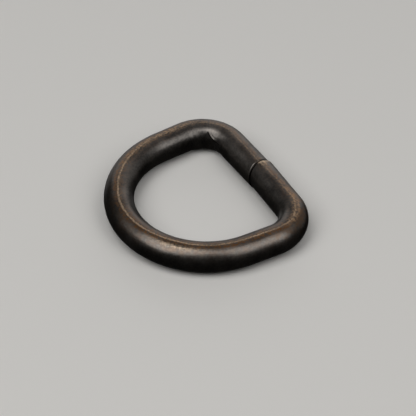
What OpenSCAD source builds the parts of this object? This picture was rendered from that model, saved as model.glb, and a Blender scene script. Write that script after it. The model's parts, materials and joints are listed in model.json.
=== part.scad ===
// D ring of round wire. The wire is bent round two corners and a bow, and its two cut
// ends meet in a butt joint at the middle of the straight bar.
// +X runs along the bar, +Y from the bar to the crown of the bow, and +Z up.
// The ring lies flat: the origin is at the middle of its outline, on the surface.

/* [Wire] */
// Diameter of the wire
wire_d = 5.2; // [3:0.1:8]

/* [D shape] */
// Clear width between the sides, on the line of the bar
inside_w = 25.5; // [16:0.5:60]
// Inside radius of the two corner bends
corner_r = 3.4; // [1.5:0.1:6]
// Straight length of each side, between its corner and the bow
side_len = 5; // [1:0.5:20]
// Lean of each side towards the other, in degrees
side_lean = 2.6; // [0:0.1:6]

/* [Joint in the bar] */
// Gap between the two cut ends of the wire
joint_gap = 0.12; // [0.04:0.02:0.6]
// Slope of each half of the bar, which runs out towards the joint, in degrees
bar_slope = 1.8; // [0:0.1:4]
// How far the end on the -X side stands out beyond the other
joint_step = 0.2; // [0:0.05:0.5]
// Chamfer round each cut end
end_chamfer = 0.22; // [0.05:0.01:0.5]

/* [Crease in the corner] */
// Depth of the crease that the bending left inside the +X corner
crease_depth = 0.25; // [0.05:0.05:0.6]
// Width of the crease
crease_w = 0.2; // [0.05:0.05:0.5]
// Place of its middle round the corner bend, in degrees from the bar
crease_at = 32; // [10:1:70]
// Place of its middle round the wire, in degrees up from the inside
crease_up = 32; // [0:1:60]
// Its slant along the wire, away from the bar as it climbs, in degrees
crease_skew = 50; // [-60:5:60]

/* [Hidden] */
$fn = 96;

wire_r = wire_d / 2;
// How far the balls between the wire's stretches stand proud of it
joint_swell = 0.01;
// The centre line of the wire: half its width on the bar's line, and its corner radius
line_x = inside_w / 2 + wire_r;
bend_r = corner_r + wire_r;
// Direction of the +X side, and the point where it reaches the bow
side_dir = 90 + side_lean;
side_top = [line_x, 0] + (bend_r * tan(side_dir / 2) + side_len) * heading(side_dir);
// The bow is one arc, square to both sides, with its centre midway between them
bow_r = side_top.x / sin(side_dir);
bow_y = side_top.y + bow_r * cos(side_dir);
bow_turn = 180 - 2 * side_lean;
// Each corner turns the wire from a side to its half of the bar
corner_turn = 90 + side_lean - bar_slope;
corner_cut = bend_r * tan(corner_turn / 2);
// How far the bar runs out at the joint, and the middle of the outline
bar_out = (line_x - bend_r) * tan(bar_slope);
outline_mid = (bow_y + bow_r - bar_out - joint_step / 2) / 2;

// The direction at an angle from +X
function heading(angle) = [cos(angle), sin(angle)];

// The cross product of two directions, which is 0 where they are parallel
function across(a, b) = a.x * b.y - a.y * b.x;

// Where the +X side's line meets the line of a bar half, which starts at the joint, out_y
// outside the two halves' middle
function corner_point(out_y) =
    [0, -bar_out - out_y] + heading(bar_slope)
        * across([line_x, bar_out + out_y], heading(side_dir))
        / across(heading(bar_slope), heading(side_dir));

// Where that bar half goes over into its corner bend
function bar_end(out_y) = corner_point(out_y) - corner_cut * heading(bar_slope);

// The ball that joins two stretches of the wire and swallows both of their end faces.
// Its poles lie on the wire's centre line.
module joint_ball() {
    rotate([0, 90, 0])
        sphere(r = wire_r + joint_swell);
}

// A straight run of wire along +X, with the children at its far end
module run(length) {
    rotate([0, 90, 0])
        cylinder(d = wire_d, h = length);
    translate([length, 0, 0]) {
        joint_ball();
        children();
    }
}

// A bend that starts along +X and turns to the left, with the children at its far end
module bend(radius, turn) {
    translate([0, radius, 0]) {
        rotate([0, 0, -90])
            rotate_extrude(angle = turn)
                translate([radius, 0])
                    circle(d = wire_d);
        rotate([0, 0, turn])
            translate([0, -radius, 0]) {
                joint_ball();
                children();
            }
    }
}

// The straight rod of one bar half, with the chamfer round its cut end
module cut_rod(length) {
    rotate([0, 90, 0]) {
        cylinder(d = wire_d, h = length - end_chamfer);
        translate([0, 0, length - end_chamfer])
            cylinder(r1 = wire_r, r2 = wire_r - end_chamfer, h = end_chamfer);
    }
}

// The wire from the end of the bow to its cut end, which lies out_y outside the middle
module leg(out_y) {
    run(norm(side_top - corner_point(out_y)) - corner_cut)
        bend(bend_r, corner_turn)
            cut_rod((bar_end(out_y).x - joint_gap / 2) / cos(bar_slope));
}

// The bow, with a leg going on from each of its ends
module wire() {
    translate([0, bow_y, 0])
        rotate([0, 0, side_lean])
            translate([bow_r, 0, 0]) {
                mirror([0, 1, 0])
                    rotate([0, 0, 90]) {
                        joint_ball();
                        leg(-joint_step / 2);
                    }
                rotate([0, 0, 90])
                    bend(bow_r, bow_turn)
                        leg(joint_step / 2);
            }
}

// The crease: a thin slice out of the inside of the +X corner, across a chord of the wire
module crease() {
    translate(bar_end(-joint_step / 2) + bend_r * heading(bar_slope + 90))
        rotate([0, 0, bar_slope - 90 + crease_at])
            translate([bend_r, 0, 0])
                rotate([0, crease_up, 0])
                    rotate([-crease_skew, 0, 0])
                        translate([crease_depth - 1.5 * wire_r, 0, 0])
                            cube([wire_r, crease_w, wire_d], center = true);
}

module ring() {
    color([0.33, 0.28, 0.23])
        translate([0, -outline_mid, wire_r + joint_swell])
            difference() {
                wire();
                crease();
            }
}

ring();
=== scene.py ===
"""A D ring of heavy steel wire with a dark antique finish, lying on a pale studio floor."""

import json
import math

import bmesh
import bpy
from mathutils import Matrix, Vector, noise


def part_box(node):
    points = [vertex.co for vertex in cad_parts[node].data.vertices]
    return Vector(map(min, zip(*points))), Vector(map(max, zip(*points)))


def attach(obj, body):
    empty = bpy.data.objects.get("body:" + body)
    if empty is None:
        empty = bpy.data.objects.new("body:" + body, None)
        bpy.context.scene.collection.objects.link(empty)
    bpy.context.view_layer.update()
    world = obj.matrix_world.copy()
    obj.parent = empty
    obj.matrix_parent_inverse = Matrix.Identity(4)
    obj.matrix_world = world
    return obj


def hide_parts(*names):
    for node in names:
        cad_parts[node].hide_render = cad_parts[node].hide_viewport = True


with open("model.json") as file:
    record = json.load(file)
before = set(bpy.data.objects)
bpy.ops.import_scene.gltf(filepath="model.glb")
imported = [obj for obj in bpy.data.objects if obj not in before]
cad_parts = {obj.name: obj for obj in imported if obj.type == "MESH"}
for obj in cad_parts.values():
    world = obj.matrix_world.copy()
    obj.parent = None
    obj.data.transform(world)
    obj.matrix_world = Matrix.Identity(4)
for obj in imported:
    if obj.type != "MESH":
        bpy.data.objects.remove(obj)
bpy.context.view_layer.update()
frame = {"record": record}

# Sizes in millimetres and degrees, as the solid has them
MM = 0.001
strap_bar = next(m for m in frame["record"]["mounts"] if m["name"] == "strap_bar")
WIRE_R = strap_bar["dims"]["r_mm"]
INSIDE_W = strap_bar["dims"]["length_mm"]
CORNER_R = 3.4
SIDE_LEN = 5.0
SIDE_LEAN = 2.6
BAR_SLOPE = 1.8
JOINT_GAP = 0.12
JOINT_STEP = 0.2
LOW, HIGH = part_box("ring")
CENTRE_Z = (LOW.z + HIGH.z) / 2 / MM

# How finely the wire is drawn: sides round it, and the way between its sections
SIDES = 160
SPACING = 0.35
CREASED_SPACING = 0.07

# Each cut end: the radius of its rim, the steps round that, and the rings on its flat face as
# shares of the face's radius
RIM_R = 0.28
RIM_STEPS = 6
FACE_RINGS = (0.1, 0.35, 0.6, 0.85)

# The cut leans: how far it moves along the wire for each millimetre up, and each one outwards,
# and the way over which that fades
CUT_LEAN_UP = 0.25
CUT_LEAN_OUT = 0.15
CUT_LEAN_REACH = 3
# What the -X end leans beyond that for each millimetre up, so that the gap closes at the crest
CUT_LEAN_CLOSED = 0.03


def heading(angle):
    """The flat direction at an angle from +X"""
    turn = math.radians(angle)
    return Vector((math.cos(turn), math.sin(turn)))


# The centre line, worked out as it is for the solid
LINE_X = INSIDE_W / 2 + WIRE_R
BEND_R = CORNER_R + WIRE_R
SIDE_DIR = 90 + SIDE_LEAN
SIDE_TOP = Vector((LINE_X, 0)) + heading(SIDE_DIR) * (
    BEND_R * math.tan(math.radians(SIDE_DIR / 2)) + SIDE_LEN
)
BOW_R = SIDE_TOP.x / math.sin(math.radians(SIDE_DIR))
BOW_Y = SIDE_TOP.y + BOW_R * math.cos(math.radians(SIDE_DIR))
CORNER_TURN = 90 + SIDE_LEAN - BAR_SLOPE
CORNER_CUT = BEND_R * math.tan(math.radians(CORNER_TURN / 2))
BAR_OUT = (LINE_X - BEND_R) * math.tan(math.radians(BAR_SLOPE))
OUTLINE_MID = (BOW_Y + BOW_R - BAR_OUT - JOINT_STEP / 2) / 2


def leg_lengths(out_y):
    """Lengths of the bar half and of the side of one leg, whose cut end is out_y outside the middle"""
    joint = Vector((0, -BAR_OUT - out_y))
    bar, side = heading(BAR_SLOPE), heading(SIDE_DIR)
    reach = (Vector((LINE_X, 0)) - joint).cross(side) / bar.cross(side)
    corner = joint + bar * reach
    cut_back = JOINT_GAP / 2 / math.cos(math.radians(BAR_SLOPE))
    return reach - CORNER_CUT - cut_back, (SIDE_TOP - corner).length - CORNER_CUT


def first_section():
    """Place of the cut end on the +X side. X points out of the ring, Y up and Z back along the wire."""
    bar = heading(BAR_SLOPE)
    point = Vector((0, JOINT_STEP / 2 - BAR_OUT)) + bar * (JOINT_GAP / 2 / bar.x)
    out, up = Vector((bar.y, -bar.x, 0)), Vector((0, 0, 1))
    place = Matrix((out, up, out.cross(up))).transposed().to_4x4()
    place.translation = (point.x, point.y - OUTLINE_MID, CENTRE_Z)
    return place


def stretch(start, radius, amount, spacing):
    """Goes on from a section along a bend of that radius and turn, or along a straight run if it is 0"""
    way, place = start
    length = math.radians(amount) * radius if radius else amount
    steps = math.ceil(length / spacing)
    if radius:
        centre = Matrix.Translation(place @ Vector((-radius, 0, 0)))
        move = centre @ Matrix.Rotation(math.radians(amount) / steps, 4, "Z") @ centre.inverted()
    else:
        move = Matrix.Translation(-place.col[2].to_3d() * length / steps)
    for _ in range(steps):
        way, place = way + length / steps, move @ place
        yield way, place


def centre_line():
    """Sections along the wire: how far each is from the first cut end, and its place"""
    near_bar, near_side = leg_lengths(-JOINT_STEP / 2)
    far_bar, far_side = leg_lengths(JOINT_STEP / 2)
    line = [(0.0, first_section())]
    for radius, amount, spacing in (
        (0, near_bar, SPACING),
        (BEND_R, CORNER_TURN, CREASED_SPACING),
        (0, near_side, SPACING),
        (BOW_R, 180 - 2 * SIDE_LEAN, SPACING),
        (0, far_side, SPACING),
        (BEND_R, CORNER_TURN, SPACING),
        (0, far_bar, SPACING),
    ):
        line += stretch(line[-1], radius, amount, spacing)
    return line


def cut_end(way, place, inwards):
    """Sections from the middle of a cut end's face out to its edge and back over the rounded rim"""
    face_r = WIRE_R - RIM_R
    for share in FACE_RINGS:
        yield way, place, share * face_r
    for step in range(RIM_STEPS + 1):
        angle = math.radians(90 * step / RIM_STEPS)
        depth = inwards * RIM_R * (1 - math.cos(angle))
        yield way + depth, place @ Matrix.Translation((0, 0, -depth)), face_r + RIM_R * math.sin(angle)


def wire_sections():
    """Every section of the wire: its way along, its place and its radius"""
    line = centre_line()
    length = line[-1][0]
    body = [(way, place, WIRE_R) for way, place in line if RIM_R < way < length - RIM_R]
    return [*cut_end(*line[0], 1), *body, *reversed([*cut_end(*line[-1], -1)])]


def smooth(low, high, value):
    """0 at low and 1 at high, with an eased rise between"""
    share = min(max((value - low) / (high - low), 0.0), 1.0)
    return share * share * (3 - 2 * share)


def bell(middle, width, value):
    """1 at the middle, and almost 0 from twice the width off it"""
    return math.exp(-(((value - middle) / width) ** 2))


def window(low, high, fade, value):
    """1 between low and high, eased to 0 outside them"""
    return smooth(low - fade, low, value) * (1 - smooth(high, high + fade, value))


# A spot on the skin has a way along the wire from the +X cut end, in millimetres, and an angle
# phi up from the outside of the ring, so 90 is the crest and 180 the inside. Where something is
# on the skin is written as what smooth, bell or window takes: two limits, a middle and a width,
# or two limits and the fade past them. _WAY is along the wire, _PHI round it, _END the distance
# from a cut end, and _GAP the distance from the crease.

# Long low waves that the wire has everywhere, sunk so that they stay inside the true round
WAVE_LENGTH = 9
WAVE_HEIGHT = 0.03
WAVE_SINK = 0.6

# The crease inside the +X corner follows a quarter of an oval on the skin: the oval's middle,
# as way and phi, how far it reaches from there along and round the wire, and its roundness
CREASE_MID = (11.5, 116)
CREASE_REACH = (2.6, 42)
CREASE_POWER = 1.6
LEAST_SHARE = 0.001
# The skin that the crease has worked
WORKED_WAY = (10.5, 16.5, 2.2)
WORKED_FROM_PHI = (121, 131)
WORKED_TO_PHI = (180, 255)

# On the bar's side of the crease the skin swells to a lip, with a sharp ridge and a nick
# behind it
LIP_RISE, LIP_WAY, LIP_PHI, LIP_GAP = 0.1, (9.5, 11.5), (124, 152), (-0.1, 0.9)
RIDGE_RISE, RIDGE_WAY, RIDGE_PHI, RIDGE_GAP = 0.02, (10.5, 11.1), (144, 151, 5), (-0.15, 0.1)
NICK_DEPTH, NICK_WAY, NICK_PHI, NICK_GAP = 0.07, (10.8, 11.3), (138, 146, 4), (-0.38, 0.11)

# Beyond the crease the skin drops into a hollow, which fills out again
DROP_GAP = (-0.07, 0.07)
HOLLOW_DEPTH, HOLLOW_WAY, HOLLOW_GAP = 0.4, (10.8, 12.6), (0.8, 4.0)
# The hollow's upper edge: its phi at the crease, the degrees that it sinks for each millimetre
# from there, and the degrees over which the skin below it reaches the whole depth
HOLLOW_TOP = 127
HOLLOW_SLANT = 15.5
HOLLOW_BANK = 34

# The skin inside this corner, which the bend has pushed up. It swells a little more towards
# the side, and dips by the crease's lower end.
BULGE, BULGE_WAY, BULGE_PHI = 0.085, (10.5, 15.5, 2.5), (128, 160, 30)
SWELL, SWELL_WAY, SWELL_PHI = 0.09, (17, 1.2), (150, 14)
DIP, DIP_WAY, DIP_PHI = 0.1, (10.6, 0.9), (154, 185, 16)


def crease_gap(way, phi):
    """About how far a spot is from the crease in millimetres, less than 0 on the bar's side of it"""
    # Shares of the oval's reach, which stay above 0 so that the crease runs on straight past it
    u = max((way - CREASE_MID[0]) / CREASE_REACH[0], LEAST_SHARE)
    t = max((phi - CREASE_MID[1]) / CREASE_REACH[1], LEAST_SHARE)
    size = (u**CREASE_POWER + t**CREASE_POWER) ** (1 / CREASE_POWER)
    slope_u = (u / size) ** (CREASE_POWER - 1) / CREASE_REACH[0]
    slope_t = (t / size) ** (CREASE_POWER - 1) / (math.radians(CREASE_REACH[1]) * WIRE_R)
    return (size - 1) / math.hypot(slope_u, slope_t)


def near_crease(way, phi):
    """1 on the skin that the crease has worked, and 0 away from it"""
    return window(*WORKED_WAY, way) * smooth(*WORKED_FROM_PHI, phi) * (1 - smooth(*WORKED_TO_PHI, phi))


def crease_relief(way, phi):
    """Height of the skin round the crease: the lip, the drop, and the hollow that fills out again"""
    there = near_crease(way, phi)
    if not there:
        return 0.0
    gap = crease_gap(way, phi)
    lip = LIP_RISE * smooth(*LIP_WAY, way) * smooth(*LIP_PHI, phi) * bell(*LIP_GAP, gap)
    lip += RIDGE_RISE * window(*RIDGE_PHI, phi) * smooth(*RIDGE_WAY, way) * bell(*RIDGE_GAP, gap)
    lip -= NICK_DEPTH * window(*NICK_PHI, phi) * smooth(*NICK_WAY, way) * bell(*NICK_GAP, gap)
    sunk = (phi - HOLLOW_TOP - HOLLOW_SLANT * gap) / HOLLOW_BANK
    hollow = HOLLOW_DEPTH * min(max(sunk, 0), 1) * (1 - smooth(*HOLLOW_GAP, gap))
    hollow *= smooth(*HOLLOW_WAY, way)
    drop = smooth(*DROP_GAP, gap)
    return there * (lip * (1 - drop) - hollow * drop)


def relief(way, phi):
    """Height of the skin over a true round wire, in millimetres"""
    turn = math.radians(phi)
    spot = Vector((way / WAVE_LENGTH, math.cos(turn), math.sin(turn)))
    waves = WAVE_HEIGHT * (noise.noise(spot) - WAVE_SINK)
    bulge = BULGE * window(*BULGE_WAY, way) * window(*BULGE_PHI, phi)
    bulge += SWELL * bell(*SWELL_WAY, way) * bell(*SWELL_PHI, phi)
    bulge -= DIP * bell(*DIP_WAY, way) * window(*DIP_PHI, phi)
    return waves + bulge + crease_relief(way, phi)


# Wear along the crest of the wire. Way along the wire, the angle up from the outside at which
# the rubbed line runs, how bright the line is, how far the band round it is rubbed, how brown
# the plate is beside it, and how brown it is on the outer shoulder.
CREST_WEAR = (
    (0, 90, 0.35, 0.12, 0.35, 0.20),
    (6, 86, 0.20, 0.04, 0.35, 0.25),
    (11, 86, 0.30, 0.14, 0.30, 0.30),
    (15, 89, 0.25, 0.17, 0.20, 0.25),
    (19, 87.5, 0.35, 0.45, 0.30, 0.45),
    (23, 86, 0.40, 0.55, 0.60, 0.50),
    (27, 86, 0.60, 0.55, 0.65, 0.50),
    (31, 86.5, 0.70, 0.38, 0.70, 0.45),
    (35, 87, 0.95, 0.25, 0.70, 0.30),
    (39, 87.5, 1.15, 0.25, 0.70, 0.30),
    (43, 84, 1.65, 0.30, 0.75, 0.45),
    (47, 86, 1.65, 0.20, 0.95, 0.75),
    (50, 89, 1.50, 0.15, 1.00, 0.50),
    (53, 93, 0.85, 0.12, 1.00, 0.35),
    (57, 95, 0.75, 0.06, 1.00, 0.50),
    (60, 93, 0.80, 0.15, 1.00, 0.40),
    (63, 92, 0.65, 0.16, 0.90, 0.35),
    (67, 92.5, 0.65, 0.10, 0.85, 0.40),
    (71, 90.5, 1.15, 0.24, 0.95, 0.42),
    (75, 89.5, 0.60, 0.02, 0.85, 0.65),
    (78, 82, 0.45, 0.68, 0.55, 1.00),
    (81, 83, 0.30, 0.65, 0.60, 1.00),
    (84, 81, 0.20, 0.28, 0.60, 0.85),
    (87, 82, 0.15, 0.12, 0.45, 0.45),
    (90, 87, 0.35, 0.02, 0.50, 0.35),
    (93.5, 91, 0.40, 0.25, 0.60, 0.40),
)
CREST_MARKS = ("middle", "line", "rub", "halo", "tint")

# A worn spot on the bow's outer shoulder, where the highlight falls: partly worn bare metal, partly a
# painted highlight that brightens it
WORN_HIGHLIGHT, WORN_HIGHLIGHT_WAY, WORN_HIGHLIGHT_PHI = 0.65, (56.5, 3.6), (73.5, 8.5)
# Painted shade on the inside of the bow's crown: the skin made darker there
CROWN_SHADE, CROWN_SHADE_WAY, CROWN_SHADE_PHI = 0.85, (46, 5), (126, 190, 18)

# The -X cut end: a bare edge, a rubbed patch behind it on the crest, and painted shade on the rim by the
# joint's gap
EDGE_END, EDGE_PHI = (0.4, 0.75), (40, 98, 10)
PATCH, PATCH_END, PATCH_PHI = 0.5, (0, 1.4), (76, 93, 8)
FAR_GAP_SHADE_END = (0.02, 0.1)
# The +X cut end: a bright glint of steel on the rim, which is a painted glint, and painted shade there
# from the crest inwards, by the joint's gap
GLINT, GLINT_END, GLINT_PHI = 0.55, (0.24, 0.06), (106, 120, 9)
NEAR_GAP_SHADE_END, NEAR_GAP_SHADE_PHI = (0.12, 0.24), (84, 104)

# Painted shade in the crease's groove and beyond its lower end, and a little darkening on the lip
GROOVE_GAP, GROOVE_PHI = (0.12, 0.16), (134, 164, 8)
BEYOND, BEYOND_WAY, BEYOND_PHI = 0.6, (10, 0.9), (140, 153, 5)
LIP_DARKENING, LIP_DARKENING_GAP = 0.17, (-0.2, 0.1)


def crest_wear(way):
    """The row of wear at a way along the wire, eased between the table's rows"""
    for low, high in zip(CREST_WEAR, CREST_WEAR[1:]):
        if way <= high[0]:
            share = smooth(low[0], high[0], way)
            return [a + (b - a) * share for a, b in zip(low[1:], high[1:])]
    return CREST_WEAR[-1][1:]


def far_end_marks(end, phi, face, worn, black):
    """Bare metal, with the worn spot's painted highlight, and painted shade on the cut face and rim by
    the joint's gap, on the half of the wire that ends in the -X cut end
    """
    edge = (1 - face) * (1 - smooth(*EDGE_END, end)) * window(*EDGE_PHI, phi)
    patch = PATCH * bell(*PATCH_END, end) * window(*PATCH_PHI, phi)
    return {
        "bare": max(edge, patch, worn),
        "steel": 0.0,
        "painted_shade": max(face, 1 - smooth(*FAR_GAP_SHADE_END, end), black),
    }


def near_end_marks(end, phi, face, black):
    """A painted glint of bright steel, and painted shade on the cut face and rim by the joint's gap, on
    the half of the wire that starts at the +X cut end
    """
    rim = (1 - smooth(*NEAR_GAP_SHADE_END, end)) * smooth(*NEAR_GAP_SHADE_PHI, phi)
    return {
        "bare": 0.0,
        "steel": GLINT * bell(*GLINT_END, end) * window(*GLINT_PHI, phi),
        "painted_shade": max(face, rim, black),
    }


def crease_shade(way, phi):
    """Painted shade on the skin that the crease has worked"""
    gap = crease_gap(way, phi)
    groove = bell(*GROOVE_GAP, gap) * window(*GROOVE_PHI, phi)
    beyond = BEYOND * bell(*BEYOND_WAY, way) * window(*BEYOND_PHI, phi)
    return max(groove, beyond, LIP_DARKENING * (1 - smooth(*LIP_DARKENING_GAP, gap)))


def skin_marks(way, phi, length, face):
    """What the finish shows at a spot on the skin, with the painted glint, highlight and shade, by the
    names that the material reads.
    A spot on a cut end's flat face has a face of 1, and any other has 0."""
    end = min(way, length - way)
    # The worn spot, partly a painted highlight
    worn = WORN_HIGHLIGHT * bell(*WORN_HIGHLIGHT_WAY, way) * bell(*WORN_HIGHLIGHT_PHI, phi)
    # Painted shade inside the bow's crown
    black = CROWN_SHADE * bell(*CROWN_SHADE_WAY, way) * window(*CROWN_SHADE_PHI, phi)
    marks = dict(zip(CREST_MARKS, crest_wear(way)))
    if way > length / 2:
        marks.update(far_end_marks(end, phi, face, worn, black))
    else:
        marks.update(near_end_marks(end, phi, face, black))
    there = near_crease(way, phi)
    if there:
        # Painted shade in and round the crease
        marks["painted_shade"] = there * crease_shade(way, phi)
    return marks


def draw_wire(bm, sections):
    """Draws a circle out through the sections. Gives the ring of points at each section."""
    _, place, radius = sections[0]
    ring = bmesh.ops.create_circle(bm, segments=SIDES, radius=radius, matrix=place)["verts"]
    loop = bm.edges[:]
    rings = [ring]
    for before, after in zip(sections, sections[1:]):
        made = bmesh.ops.extrude_edge_only(bm, edges=loop)["geom"]
        ring = [part for part in made if isinstance(part, bmesh.types.BMVert)]
        fresh = set(ring)
        edges = [part for part in made if isinstance(part, bmesh.types.BMEdge)]
        loop = [edge for edge in edges if fresh.issuperset(edge.verts)]
        move = after[1] @ Matrix.Scale(after[2] / before[2], 4) @ before[1].inverted()
        bmesh.ops.transform(bm, matrix=move, verts=ring)
        rings.append(ring)
    return rings


def close_ends(bm, sections, rings):
    """Closes each cut end with a fan, and lists the fan's hub with the section of its end"""
    ends = [edge for edge in bm.edges if edge.is_boundary]
    caps = bmesh.ops.edgeloop_fill(bm, edges=ends)["faces"]
    cuts = (sections[0], sections[-1])
    for hub in bmesh.ops.poke(bm, faces=caps)["verts"]:
        rings.append([hub])
        sections.append(min(cuts, key=lambda cut: (cut[1].translation - hub.co).length))


def cut_lean(way, spot, length):
    """How far a spot near a cut end moves back along the wire, because the cut leans"""
    near_cut = 1 - smooth(0, CUT_LEAN_REACH, min(way, length - way))
    lean_up = CUT_LEAN_UP + (CUT_LEAN_CLOSED if way > length / 2 else 0)
    return near_cut * (lean_up * spot.y + CUT_LEAN_OUT * spot.x)


def ring_mesh():
    """The ring as one mesh, drawn out section by section, with its wear and its painted glint, highlight
    and shade marked on its skin
    """
    bm = bmesh.new()
    wire = bm.verts.layers.float_vector.new("wire")
    layers = {name: bm.verts.layers.float.new(name) for name in skin_marks(0, 0, 1, 0)}
    sections = wire_sections()
    length = sections[-1][0]
    rings = draw_wire(bm, sections)
    close_ends(bm, sections, rings)
    for (way, place, radius), ring in zip(sections, rings):
        back = place.inverted()
        face = 0.0 if radius > WIRE_R - RIM_R else 1.0
        for vert in ring:
            spot = back @ vert.co
            vert[wire] = (way, spot.x, spot.y)
            phi = math.degrees(math.atan2(spot.y, spot.x)) % 360
            for name, value in skin_marks(way, phi, length, face).items():
                vert[layers[name]] = value
            swell = 0 if face else relief(way, phi) / WIRE_R
            vert.co = place @ (spot * (1 + swell) - Vector((0, 0, cut_lean(way, spot, length))))
    bmesh.ops.recalc_face_normals(bm, faces=bm.faces)
    bmesh.ops.scale(bm, vec=(MM, MM, MM), verts=bm.verts)
    mesh = bpy.data.meshes.new("wire_ring")
    bm.to_mesh(mesh)
    bm.free()
    mesh.shade_smooth()
    return mesh


def linear(hex_colour):
    """A linear colour from sRGB hex"""
    parts = [int(hex_colour[k:k + 2], 16) / 255 for k in (1, 3, 5)]
    return [p / 12.92 if p <= 0.04045 else ((p + 0.055) / 1.055) ** 2.4 for p in parts] + [1.0]


def add(tree, kind, inputs=None, **settings):
    """Adds a node with its settings, and gives each named or numbered input a value or a link"""
    made = tree.nodes.new(kind)
    for name, value in settings.items():
        setattr(made, name, value)
    for socket, value in (inputs or {}).items():
        if isinstance(value, bpy.types.NodeSocket):
            tree.links.new(value, made.inputs[socket])
        else:
            made.inputs[socket].default_value = value
    return made


# Cloudy patches, mottling and crisp grain that break the finish up: the size of each in
# millimetres, and how soft its edges are
PATTERNS = (("patches", 4, 0.12), ("mottle", 0.9, 0.12), ("grain", 0.38, 0.07))
# The black skin where it is darkest and where it is lightest, and how much of the change
# between them follows the grain
BLACK_DARK, BLACK_LIGHT = "#5a5754", "#807b76"
GRAIN_SHARE = 0.35
# Semi-gloss: the skin's roughness, which changes in patches, and how much the painted shade adds to it
ROUGHNESS = (0.32, 0.38)
PAINTED_SHADE_ROUGHNESS = 0.3
# The lines that the drawing die left: how many there are to the millimetre along the wire and
# across it, and their height in millimetres. Then the grain's height as a share of theirs.
DRAWN_LINES = (0.1, 3.3, 3.3)
DRAWN_HEIGHT = 0.006
GRAIN_HEIGHT = 0.3
# How far the mottling pushes the rubbed line to and fro, in degrees
RAGGED = 2

# The layers of the finish, from the lowest up, where the last two are a painted glint of bright steel
# and painted shade. For each: the mark that says how strong a layer is, its colour, the pattern that
# breaks it up, the share of it that stays whole where the pattern is weakest, and its share at degrees
# inside the rubbed line
WORN_AND_PAINTED_LAYERS = (
    ("tint", "#7d6653", "mottle", 0.1, ((-90, 0), (-60, 0.5), (-34, 1), (-4, 1), (8, 0))),
    ("halo", "#825730", "grain", 0.1, ((-24, 0), (-13, 1), (-4, 1), (8, 0.6), (24, 0.3), (46, 0))),
    ("rub", "#c8a888", "grain", 0.1, ((-24, 0), (-8, 1), (3, 1), (18, 0))),
    ("line", "#e6c8a8", "grain", 0.4, ((-5, 0), (-1, 1), (1, 1), (5, 0))),
    ("bare", "#e6cdb0", "grain", 0.2, ((-90, 1),)),
    # Painted glint: bright steel laid only in a thin band on the +X cut end's rim
    ("steel", "#cfcac2", "grain", 0.5, ((-90, 1),)),
    # Painted shade: near-black painted where shade falls, in the joint's gap, in the crease and inside
    # the bow's crown
    ("painted_shade", "#15110e", "patches", 0.8, ((-90, 1),)),
)


def finish_patterns(tree, wire):
    """Each pattern by its name, as an output that runs from 0 to 1"""
    patterns = {}
    for name, size, blur in PATTERNS:
        cloud = add(tree, "ShaderNodeTexNoise", {"Vector": wire, "Scale": 1 / size, "Detail": 3})
        patterns[name] = add(
            tree, "ShaderNodeMapRange",
            {"Value": cloud.outputs["Fac"], "From Min": 0.5 - blur, "From Max": 0.5 + blur},
        ).outputs[0]
    return patterns


def from_rubbed_line(tree, wire, push):
    """Degrees in from the rubbed line, which a pattern pushes to and fro: 0 at -90 and 1 at 90"""
    parts = add(tree, "ShaderNodeSeparateXYZ", {0: wire}).outputs
    turn = add(tree, "ShaderNodeMath", {0: parts[2], 1: parts[1]}, operation="ARCTAN2").outputs[0]
    angle = add(tree, "ShaderNodeMath", {0: turn}, operation="DEGREES").outputs[0]
    middle = add(tree, "ShaderNodeAttribute", attribute_name="middle").outputs["Fac"]
    inside = add(tree, "ShaderNodeMath", {0: angle, 1: middle}, operation="SUBTRACT").outputs[0]
    pushed = add(
        tree, "ShaderNodeMath", {0: push, 1: RAGGED, 2: inside}, operation="MULTIPLY_ADD"
    ).outputs[0]
    return add(
        tree, "ShaderNodeMapRange",
        {"Value": pushed, "From Min": RAGGED / 2 - 90, "From Max": RAGGED / 2 + 90},
    ).outputs[0]


def lay_over(tree, colour, layer, across, patterns):
    """Lays a worn or painted layer over the colour so far. Gives the new colour, and where the layer
    shows.
    """
    name, over, pattern, whole, shares = layer
    ramp = add(tree, "ShaderNodeValToRGB", {0: across})
    ramp.color_ramp.interpolation = "EASE"
    points = ramp.color_ramp.elements
    while len(points) < len(shares):
        points.new(0.5)
    while len(points) > len(shares):
        points.remove(points[-1])
    for point, (degrees, share) in zip(points, shares):
        point.position = (degrees + 90) / 180
        point.color = (share, share, share, 1)
    broken = add(
        tree, "ShaderNodeMapRange", {"Value": patterns[pattern], "To Min": whole}
    ).outputs[0]
    mark = add(tree, "ShaderNodeAttribute", attribute_name=name).outputs["Fac"]
    amount = add(tree, "ShaderNodeMath", {0: mark, 1: ramp.outputs[0]}, operation="MULTIPLY").outputs[0]
    mask = add(tree, "ShaderNodeMath", {0: amount, 1: broken}, operation="MULTIPLY").outputs[0]
    mixed = add(
        tree, "ShaderNodeMix", {0: mask, 6: colour, 7: linear(over)}, data_type="RGBA"
    ).outputs[2]
    return mixed, mask


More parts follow.
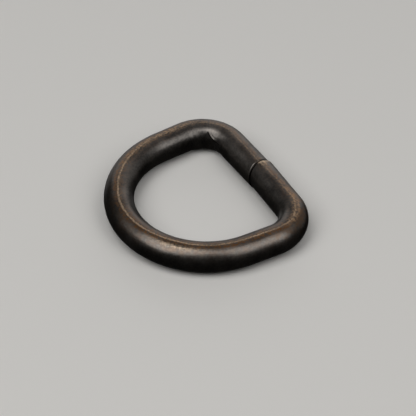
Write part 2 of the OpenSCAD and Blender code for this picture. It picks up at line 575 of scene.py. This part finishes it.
def antique_plate():
    """Drawn steel wire, bronze plated, blackened and rubbed back. The black stays as a
    semi-gloss, near-black skin. It is worn to a tan line along the crest, with brown beside
    the line where the black has thinned."""
    material = bpy.data.materials.new("antiqued_bronze_plate")
    material.use_nodes = True
    tree = material.node_tree
    skin = tree.nodes["Principled BSDF"]
    skin.inputs["Metallic"].default_value = 1.0
    wire = add(tree, "ShaderNodeAttribute", attribute_name="wire").outputs["Vector"]
    patterns = finish_patterns(tree, wire)
    across = from_rubbed_line(tree, wire, patterns["mottle"])

    # The black skin, warmer and lighter in patches and in its grain, the wear on it, and the painted
    # glint and painted shade
    clouded = add(
        tree, "ShaderNodeMix", {0: GRAIN_SHARE, 2: patterns["patches"], 3: patterns["grain"]}
    ).outputs[0]
    colour = add(
        tree, "ShaderNodeMix", {0: clouded, 6: linear(BLACK_DARK), 7: linear(BLACK_LIGHT)},
        data_type="RGBA",
    ).outputs[2]
    shows = {}
    for layer in WORN_AND_PAINTED_LAYERS:
        colour, shows[layer[0]] = lay_over(tree, colour, layer, across, patterns)
    tree.links.new(colour, skin.inputs["Base Color"])

    # A little duller in patches, and duller under the painted shade
    low, high = ROUGHNESS
    gloss = add(
        tree, "ShaderNodeMapRange", {"Value": patterns["patches"], "To Min": low, "To Max": high}
    ).outputs[0]
    dull = add(
        tree, "ShaderNodeMath", {0: shows["painted_shade"], 1: PAINTED_SHADE_ROUGHNESS, 2: gloss}, operation="MULTIPLY_ADD"
    ).outputs[0]
    tree.links.new(dull, skin.inputs["Roughness"])

    # The drawing lines and the plate's fine grain, in relief
    drawn = add(tree, "ShaderNodeMapping", {"Vector": wire, "Scale": DRAWN_LINES}).outputs[0]
    lines = add(tree, "ShaderNodeTexNoise", {"Vector": drawn, "Scale": 1, "Detail": 2}).outputs["Fac"]
    height = add(
        tree, "ShaderNodeMath", {0: patterns["grain"], 1: GRAIN_HEIGHT, 2: lines},
        operation="MULTIPLY_ADD",
    ).outputs[0]
    bump = add(
        tree, "ShaderNodeBump", {"Height": height, "Distance": DRAWN_HEIGHT * MM, "Strength": 1}
    ).outputs[0]
    tree.links.new(bump, skin.inputs["Normal"])
    return material


# How far the floor reaches from its middle, in metres
FLOOR_REACH = 4


def pale_floor():
    """A wide pale floor"""
    bm = bmesh.new()
    bmesh.ops.create_grid(bm, x_segments=1, y_segments=1, size=FLOOR_REACH)
    mesh = bpy.data.meshes.new("floor")
    bm.to_mesh(mesh)
    bm.free()
    floor = bpy.data.objects.new("floor", mesh)
    bpy.context.scene.collection.objects.link(floor)
    material = bpy.data.materials.new("matt_pale_card")
    material.use_nodes = True
    card = material.node_tree.nodes["Principled BSDF"]
    card.inputs["Base Color"].default_value = linear("#e9e7e3")
    card.inputs["Roughness"].default_value = 0.8
    mesh.materials.append(material)
    floor.visible_glossy = False
    return floor


# Camera: the photograph's direction, distance and lens
CAMERA_AZ, CAMERA_EL = -120.306, 42.953
CAMERA_FAR = 416
LENS = 211.4
SENSOR_W = 36
# The point that it looks at: one at the height of the floor, moved across and up the picture
AIM = Vector((0, 0.473, 0.01))
AIM_RIGHT, AIM_UP = 2.358, 0.710

# The soft lights: azimuth and elevation, how far off, width, height and watts. The last one
# lies below the floor and shows only in reflections, as the sheen of a satin floor.
LIGHTS = (
    ("left_softbox", 181.5, 61, 600, 390, 590, 1.83),
    ("right_softbox", 293.5, 52.5, 600, 320, 492, 0.93),
    ("back_panel", 57.6, 19.3, 700, 924, 454, 0.81),
    ("upper_fill", 45, 53, 600, 340, 200, 0.06),
    ("front_fill", 8, 26, 700, 800, 860, 0.43),
    ("floor_sheen", 64, -14, 700, 920, 380, 0.3),
)


def towards(azimuth, elevation):
    """The direction from the ring to what stands at an azimuth and elevation; azimuth 0 is at -Y"""
    a, e = math.radians(azimuth), math.radians(elevation)
    return Vector((math.sin(a) * math.cos(e), -math.cos(a) * math.cos(e), math.sin(e)))


def photo_camera():
    """The camera that takes the picture"""
    data = bpy.data.cameras.new("camera")
    data.sensor_width = SENSOR_W
    data.lens = LENS
    camera = bpy.data.objects.new("camera", data)
    back = towards(CAMERA_AZ, CAMERA_EL)
    turn = back.to_track_quat("Z", "Y")
    aim = AIM + turn @ Vector((AIM_RIGHT, AIM_UP, 0))
    camera.rotation_mode = "QUATERNION"
    camera.rotation_quaternion = turn
    camera.location = (aim + back * CAMERA_FAR) * MM
    bpy.context.scene.collection.objects.link(camera)
    return camera


def softbox(name, azimuth, elevation, far, width, height, watts):
    """A soft rectangular light, far millimetres off, that faces the ring"""
    data = bpy.data.lights.new(name, "AREA")
    data.shape = "RECTANGLE"
    data.size = width * MM
    data.size_y = height * MM
    data.energy = watts
    light = bpy.data.objects.new(name, data)
    direction = towards(azimuth, elevation)
    light.rotation_mode = "QUATERNION"
    light.rotation_quaternion = direction.to_track_quat("Z", "Y")
    light.location = direction * far * MM
    light.visible_camera = False
    bpy.context.scene.collection.objects.link(light)


def studio():
    """The studio's lights, and its air, which lights the ring dimly and is pale in the picture"""
    for light in LIGHTS:
        softbox(*light)
    world = bpy.data.worlds.new("studio")
    world.use_nodes = True
    bpy.context.scene.world = world
    tree = world.node_tree
    tree.nodes.clear()
    seen = add(tree, "ShaderNodeLightPath").outputs["Is Camera Ray"]
    dark = add(tree, "ShaderNodeBackground", {"Color": linear("#3c3b3a"), "Strength": 0.3}).outputs[0]
    pale = add(tree, "ShaderNodeBackground", {"Color": linear("#d9d7d3"), "Strength": 0.8}).outputs[0]
    both = add(tree, "ShaderNodeMixShader", {0: seen, 1: dark, 2: pale}).outputs[0]
    add(tree, "ShaderNodeOutputWorld", {"Surface": both})
    bpy.context.scene.view_settings.view_transform = "Standard"


ring = bpy.data.objects.new("wire_ring", ring_mesh())
ring.data.materials.append(antique_plate())
bpy.context.scene.collection.objects.link(ring)
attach(ring, "root")
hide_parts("ring")

floor = pale_floor()
studio()
bpy.context.scene.camera = photo_camera()
